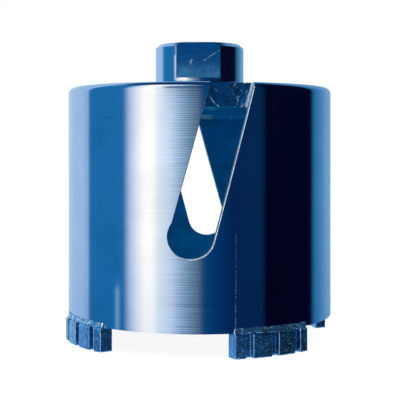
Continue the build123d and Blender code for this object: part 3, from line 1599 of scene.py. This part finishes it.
@dataclass
class EndPlate:
    """The disc that closes the barrel, bored for the hub and notched by the slots."""

    slots: SlotCut
    radius: float = 37.95
    hole: float = 11.05
    bottom: float = 68.25
    top: float = 75.05
    steps: int = 192
    deburr: float = 0.18
    mill_place: Pair = (2.55, 73.5)

    def finishes(self) -> list[Material]:
        """Makes the finishes: face, underside, notch walls, and a floor for each notch.

        Returns:
            The finishes, in the order of the faces' material numbers.
        """
        kinds = [
            FacedSteel("plate_face", roughness=0.22),
            underside("plate_underside"),
            MilledSteel("notch_wall", (0.66, 0.88, 1.0), 0.45, metallic=0.15, depth=0.05 * MM),
        ]
        for turn in range(self.slots.turns):
            centre = self.slots.on_floor(turn, *self.mill_place)
            side = sideways(self.slots.axis(turn))
            kinds.append(NotchSteel(
                f"notch_floor_{turn + 1}", (0.004, 0.09, 0.26), 0.34, metallic=0.7, gloss=0.2,
                centre=tuple(centre), side=tuple(side),
            ))
        return [kind.build() for kind in kinds]

    def build(self) -> None:
        """Builds the disc and places it."""
        profile = Turning(self.hole, self.bottom).to(self.radius, self.bottom)
        profile.to(self.radius, self.top).to(self.hole, self.top)
        shape = Bench.carve(profile.turned(self.steps), self.slots.cutters())
        axes = [self.slots.axis(turn) for turn in range(self.slots.turns)]
        for face in shape.faces:
            floors = [face.normal.dot(out) > 0.99 for out in axes]
            if not self.slots.is_cut(face):
                face.material_index = Disc.UNDERSIDE if face.normal.z < -0.9 else Disc.FACE
            elif any(floors):
                face.material_index = Disc.FIRST_FLOOR + floors.index(True)
            else:
                face.material_index = Disc.NOTCH_WALL
        edges = [
            edge for edge in self.slots.rims(shape)
            if all(off_axis(vert.co) < self.radius - 0.1 for vert in edge.verts)
        ]
        Bench.eased(shape, edges, self.deburr, 2, clamp=True)
        rule = round_wall(self.radius, self.hole)
        Bench.place(shape, "end_disc", self.finishes(), "plate_steel", ("end_plate",), rule)


class Boss(IntEnum):
    """The hub's finishes, by material number."""

    WALL, FLAT, THREAD, TOP, ARRIS, UNDERSIDE = range(6)


@dataclass
class Hub:
    """The threaded hub: turned, tapped right through, with two milled flats over a collar."""

    radius: float = 13.5
    spigot: float = 11.0
    bottom: float = 68.25
    seat: float = 75.05
    top: float = 88.35
    chamfer: float = 1.1
    flat: float = 11.8
    flat_bottom: float = 77.75
    block: tuple[float, float, float] = (40.0, 8.0, 20.0)
    pitch: float = 2.0
    minor: float = 6.95
    major: float = 8.0
    lead_in: float = 0.6
    run_out: float = 1.6
    arris: float = 0.4
    nicks: int = 14
    unevenness: float = 0.03
    arris_tilt: Pair = (0.895, 0.9995)
    steps: int = 160
    thread_steps: int = 40

    def add_thread(self, shape: Shape) -> None:
        """Winds the ridge of an M16 coarse thread into the bore, run out at both ends.

        Args:
            shape: The hub, which takes the ridge.
        """
        ridge = bmesh.new()
        low = self.bottom + 1.0
        turns = (self.top - self.bottom - 2.0) / self.pitch - 1
        root = self.major + 0.1
        first = tip = ridge.verts.new((root, 0, low))
        for radius, rise in ((self.minor, 0.44), (self.minor, 0.56), (root, 1.0)):
            tip = drawn_on(ridge, tip, (radius, 0, low + rise * self.pitch))
        ridge.edges.new((tip, first))
        steps = round(self.thread_steps * turns)
        bmesh.ops.spin(
            ridge, geom=ridge.verts[:] + ridge.edges[:], cent=(0, 0, 0), axis=(0, 0, 1),
            dvec=(0, 0, self.pitch * turns / steps), angle=math.tau * turns, steps=steps,
        )
        bmesh.ops.holes_fill(ridge, edges=[edge for edge in ridge.edges if edge.is_boundary])
        bmesh.ops.recalc_face_normals(ridge, faces=ridge.faces)
        high = low + self.pitch * (turns + 1)
        for vert in ridge.verts:
            near = min(vert.co.z - low, high - vert.co.z) / (self.run_out * self.pitch)
            radius = off_axis(vert.co)
            if near < 1 and radius < root - 0.01:
                vert.co.xy *= (root + (radius - root) * max(near, 0.02)) / radius
        for face in ridge.faces:
            face.material_index = Boss.THREAD
        wound = bpy.data.meshes.new("ridge")
        ridge.to_mesh(wound)
        ridge.free()
        shape.from_mesh(wound)
        bpy.data.meshes.remove(wound)

    def flat_block(self, side: int) -> Shape:
        """Makes the block that the cutter takes away beside one flat.

        Args:
            side: -1 for the front flat, 1 for the back one.

        Returns:
            The block.
        """
        shape = bmesh.new()
        bmesh.ops.create_cube(shape, size=1.0)
        bmesh.ops.scale(shape, vec=self.block, verts=shape.verts)
        _, depth, height = self.block
        middle = (0, side * (self.flat + depth / 2), self.flat_bottom + height / 2)
        bmesh.ops.translate(shape, vec=middle, verts=shape.verts)
        return shape

    def arrises(self, shape: Shape) -> list[Edge]:
        """Finds the edges of the flats that lie under the chamfer.

        Args:
            shape: The hub.

        Returns:
            Its arrises.
        """
        under = self.top - self.chamfer + 0.01
        found = []
        for edge in shape.edges:
            flats = [abs(face.normal.y) > LEVEL for face in edge.link_faces]
            if len(flats) == 2 and flats[0] != flats[1]:
                if max(vert.co.z for vert in edge.verts) < under:
                    found.append(edge)
        return found

    def ease_arrises(self, shape: Shape) -> None:
        """Breaks the edges of the flats, unevenly, as handling does.

        Args:
            shape: The hub.
        """
        edges = [edge for edge in self.arrises(shape) if edge.calc_length() > 1.0]
        bmesh.ops.subdivide_edges(shape, edges=edges, cuts=self.nicks)
        Bench.eased(shape, self.arrises(shape), self.arris, 2, clamp=True)
        for vert in shape.verts:
            if any(abs(abs(face.normal.y) - 0.9) < 0.099 for face in vert.link_faces):
                vert.co += Vector((noise.noise(vert.co * 1.1) * self.unevenness, 0, 0))
            vert.co.z = min(vert.co.z, self.top)
            limit = self.radius - max(0.0, vert.co.z - self.top + self.chamfer)
            out = off_axis(vert.co)
            if out > limit:
                vert.co.xy *= limit / out
        least, most = self.arris_tilt
        for face in shape.faces:
            centre = face.calc_center_median()
            if least < abs(face.normal.y) < most and centre.x * centre.y > 0:
                if self.flat_bottom + 0.3 < centre.z < self.top - self.chamfer:
                    face.material_index = Boss.ARRIS

    def finishes(self) -> list[Material]:
        """Makes the finishes: wall, flats, thread, top, worn arrises and underside; the wall takes
        rubs and painted sheen.

        Returns:
            The finishes, in the order of the faces' material numbers.
        """
        # Pale streaks: the full-height band at +62 degrees and the two on the collar under the
        # front flat are painted reflections; the one on the left arris is wear.
        rubbed = (
            (14.6, 3.2, 74.0, 90.0), (-6.95, 1.1, 77.5, 84.0), (-4.7, 2.4, 70.0, 76.9),
            (-1.6, 3.0, 70.0, 76.6),
        )
        kinds = (
            TurnedSteel(
                "hub_lacquer", coat=0.35, radius=self.radius * MM, contrast=0.05, roughness=0.14,
                rubbing=0.8, rubbed=tuple(Mark(*sizes, soft=1.0, whole=1.0) for sizes in rubbed),
            ),
            FlatSteel("hub_flat", (0.08, 0.40, 0.71), 0.08),
            MilledSteel("thread_steel", (0.20, 0.38, 0.58), 0.28),
            FacedSteel("hub_face", roughness=0.22),
            MilledSteel("rubbed_arris", (0.62, 0.80, 0.92), 0.4, metallic=0.2, depth=0.01 * MM),
            underside("spigot_underside"),
        )
        return [kind.build() for kind in kinds]

    def finish_of(self, face: Face) -> Boss:
        """Chooses a face's finish.

        Args:
            face: The face, before its edges are eased.

        Returns:
            Its finish.
        """
        centre, normal = face.calc_center_median(), face.normal
        if abs(normal.y) > LEVEL and centre.z > self.flat_bottom:
            return Boss.FLAT
        if normal.z < -0.3 and centre.z < self.bottom + self.lead_in:
            return Boss.UNDERSIDE
        if off_axis(centre) < self.major + 0.4 and abs(normal.z) < 0.95:
            return Boss.THREAD
        return Boss.TOP if normal.z > 0.95 else Boss.WALL

    def build(self) -> None:
        """Builds the hub and places it."""
        mouth = self.major + self.lead_in
        profile = Turning(self.major, self.bottom + self.lead_in).to(mouth, self.bottom)
        profile.to(self.spigot, self.bottom).to(self.spigot, self.seat)
        profile.to(self.radius, self.seat).to(self.radius, self.top - self.chamfer)
        profile.to(self.radius - self.chamfer, self.top)
        profile.to(mouth, self.top).to(self.major, self.top - self.lead_in)
        blocks = [self.flat_block(-1), self.flat_block(1)]
        shape = Bench.carve(profile.turned(self.steps), blocks)
        for face in shape.faces:
            face.material_index = self.finish_of(face)
        self.ease_arrises(shape)
        self.add_thread(shape)
        rule = round_wall(self.radius)
        Bench.place(shape, "hub_body", self.finishes(), "hub_steel", ("hub",), rule)


@dataclass
class Beads:
    """The two weld beads: around the hub's foot, and in the corner under the plate."""

    slots: SlotCut
    hub: float = 13.5
    seat: float = 75.05
    foot: float = 1.8
    bore: float = 38.0
    ceiling: float = 68.25
    corner: float = 1.5
    bow: float = 0.12
    inner_bow: float = -0.1
    pitch: float = 1.3
    inner_pitch: float = 1.6
    ripple: float = 0.06
    inner_ripple: float = 0.02
    steps: int = 420

    def rippled(self, shape: Shape, radius: float, pitch: float, ripple: float) -> None:
        """Gives a bead the scallops that the arc leaves, and an uneven toe.

        Args:
            shape: The bead.
            radius: The radius of the wall that it lies against.
            pitch: The scallops' length.
            ripple: Their height.
        """
        count = round(math.tau * radius / pitch)
        for vert in shape.verts:
            angle = math.atan2(vert.co.y, vert.co.x)
            off = off_axis(vert.co) - radius
            walls = (off, vert.co.z - self.seat, vert.co.z - self.ceiling)
            if min(abs(wall) for wall in walls) < NEAR:
                continue
            wave = abs(math.sin(angle * count / 2 + vert.co.z * 1.5)) - 0.6
            drift = noise.noise(vert.co * 0.35) * 2 * ripple
            vert.co += outwards(vert.co) * math.copysign(1.0, off) * (wave * ripple + drift)

    def build(self) -> None:
        """Builds both beads and places them."""
        weld = WeldMetal("weld_lacquer", (0.16, 0.38, 0.64), 0.2, speck=0.04, depth=0.012 * MM)
        toe = self.hub + self.foot
        profile = Turning(self.hub, self.seat).to(toe, self.seat)
        profile.swell((toe, self.seat), (self.hub, self.seat + self.foot), self.bow)
        shape = profile.turned(self.steps)
        self.rippled(shape, self.hub, self.pitch, self.ripple)
        Bench.place(shape, "hub_bead", [weld.build()], "weld_steel", ("hub_weld",), sharp=50)
        toe = self.bore - self.corner
        profile = Turning(self.bore, self.ceiling).to(toe, self.ceiling)
        end = (self.bore, self.ceiling - self.corner)
        profile.swell((toe, self.ceiling), end, self.inner_bow)
        shape = profile.turned(self.steps)
        self.rippled(shape, self.bore, self.inner_pitch, self.inner_ripple)
        shape = Bench.carve(shape, self.slots.cutters())
        # The plate bead takes a painted highlight: a soft light spot on its far side.
        inner = WeldMetal(
            "inner_weld", (0.006, 0.48, 0.88), 0.4, speck=0.0, size=2.5 * MM, depth=0.01 * MM,
            metallic=0.0, gloss=0.1, gleam=Mark(1.0, 3.4, 30.0, 40.0, soft=4.0, whole=1.0),
        )
        Bench.place(shape, "plate_bead", [inner.build()], "weld_steel", ("plate_weld",), sharp=50)


@dataclass
class Segments:
    """The four diamond segments, with gritty faces and worn arrises."""

    count: int = 4
    voxel: float = 0.15
    grain: float = 0.45
    bite: float = 0.16
    chip: Pair = (1.7, 0.45)
    roughening: float = 0.035
    crystal: Pair = (0.28, 0.22)
    edge_gain: float = 9.0
    bare_gain: float = 13.0
    spreading: int = 3

    def sharpness(self, shape: Shape) -> list[float]:
        """Measures how sharp a shape is at each point, averaged over its neighbours.

        Args:
            shape: The shape.

        Returns:
            The sharpness of each point, which is 0 on a flat face.
        """
        edge = []
        for vert in shape.verts:
            total = sum((face.normal for face in vert.link_faces), Vector((0, 0, 0)))
            edge.append(1 - total.length / max(len(vert.link_faces), 1))
        shape.verts.index_update()
        for _ in range(self.spreading):
            edge = [
                0.5 * edge[vert.index]
                + 0.5 * sum(edge[link.other_vert(vert).index] for link in vert.link_edges)
                / max(len(vert.link_edges), 1)
                for vert in shape.verts
            ]
        return edge

    def worn(self, shape: Shape) -> None:
        """Wears the arrises, sets grains in the faces and notes how worn each point is.

        Args:
            shape: The segment's even net of faces.
        """
        layer = shape.verts.layers.float.new("worn")
        shape.normal_update()
        moves = []
        (pitch, share), (reach, height) = self.chip, self.crystal
        for vert, sharp in zip(shape.verts, self.sharpness(shape)):
            near = min(1.0, sharp * self.edge_gain)
            chip = max(0.0, noise.noise(vert.co * pitch) + share)
            fine = noise.noise(vert.co / (self.grain * 0.8))
            cells = noise.voronoi(vert.co / self.grain)[0]
            chosen = noise.cell(vert.co / (self.grain * 3)) > 0
            crystal = max(0.0, reach - cells[0]) if chosen else 0
            push = fine * self.roughening + crystal * height - near * chip * self.bite
            bare = min(1.0, sharp * self.bare_gain) * min(1.0, 0.35 + chip)
            vert[layer] = min(1.0, bare * (0.7 + abs(fine)))
            moves.append(vert.normal * push)
        for vert, move in zip(shape.verts, moves):
            vert.co += move
            vert.co.z = max(vert.co.z, 0.0)

    def build(self) -> None:
        """Builds the segments and places them."""
        matrix = GritMatrix("diamond_matrix", (0.055, 0.29, 0.58), 0.27).build()
        for number in range(1, self.count + 1):
            node, name = f"segment_{number}", f"segment_body_{number}"
            shape = Bench.remeshed(node, self.voxel)
            self.worn(shape)
            Bench.place(shape, name, [matrix], "diamond_matrix", (node,), sharp=180)


@dataclass
class Braze:
    """The braze that holds the segments: lumpy fillets, with a few drops beside them."""

    count: int = 4
    voxel: float = 0.11
    lump: float = 0.34
    lumps: Pair = (0.62, 2.0)
    small_share: float = 0.32
    smoothing: int = 2
    drops: int = 9
    drop_size: float = 0.26
    barrel: float = 40.0
    bottom: float = 6.85
    drop_rise: float = 0.7
    drop_depth: float = 0.45
    segment_azimuth: float = 32.7
    half_angle: float = 16.5

    @staticmethod
    def soften(shape: Shape) -> None:
        """Evens a shape out a little."""
        bmesh.ops.smooth_vert(shape, verts=shape.verts, factor=0.5, use_axis_x=True,
                              use_axis_y=True, use_axis_z=True)

    def lumpy(self, shape: Shape) -> None:
        """Pushes the fillet in and out, as it froze.

        Args:
            shape: The fillet.
        """
        for _ in range(self.smoothing):
            self.soften(shape)
        shape.normal_update()
        broad, fine = self.lumps
        for vert in shape.verts:
            swell = noise.noise(vert.co * broad + Vector((3, 1, 0))) * self.lump
            small = noise.noise(vert.co * fine) * self.lump * self.small_share
            vert.co += vert.normal * (swell + small)
        self.soften(shape)

    def drop_on(self, shape: Shape, azimuth: float, height: float, radius: float) -> None:
        """Adds a frozen drop on the barrel's wall.

        Args:
            shape: The fillet, which takes the drop.
            azimuth: Where it hangs, in degrees.
            height: Its height.
            radius: Its size.
        """
        made = bmesh.ops.create_icosphere(shape, subdivisions=3, radius=radius)["verts"]
        for vert in made:
            vert.co *= 1 + 0.35 * noise.noise(vert.co * 2.2 + Vector((azimuth, height, 0)))
        out = bearing(azimuth)
        centre = out * (self.barrel + radius * 0.1) + Vector((0, 0, height))
        bmesh.ops.transform(shape, matrix=facing(centre, out, self.drop_depth), verts=made)

    def add_drops(self, shape: Shape, number: int) -> None:
        """Adds the drops beside one segment.

        Args:
            shape: The fillet, which takes the drops.
            number: The segment's number, from 1.
        """
        middle = self.segment_azimuth + (number - 1) * 90
        for index in range(self.drops):
            chance = noise.cell(Vector((number * 7.3, index * 3.1, 0.5)))
            second = noise.cell(Vector((index * 5.7, number * 2.9, 8.5)))
            share = 2 * index / (self.drops - 1) - 1 + 0.12 * chance
            height = self.bottom + self.drop_rise + 0.5 * second
            size = self.drop_size + 0.16 * abs(chance)
            self.drop_on(shape, middle + self.half_angle * share, height, size)

    def build(self) -> None:
        """Builds the fillets and places them."""
        finish = WeldMetal("silver_braze", (0.18, 0.46, 0.72), 0.2, metallic=0.93, speck=0.26,
                           depth=0.04 * MM).build()
        for number in range(1, self.count + 1):
            node, name = f"segment_braze_{number}", f"braze_fillet_{number}"
            shape = Bench.remeshed(node, self.voxel)
            self.lumpy(shape)
            self.add_drops(shape, number)
            Bench.place(shape, name, [finish], "braze_alloy", (node,), sharp=180)


def main() -> None:
    """Builds the studio and every piece."""
    logging.basicConfig(level=logging.INFO, format="%(name)s: %(message)s")
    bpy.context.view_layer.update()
    Studio().build()
    slots = SlotCut()
    for assembly in (Barrel(slots), EndPlate(slots), Hub(), Beads(slots), Segments(), Braze()):
        assembly.build()
        LOG.info("%s done", type(assembly).__name__)


if __name__ == "__main__":
    main()
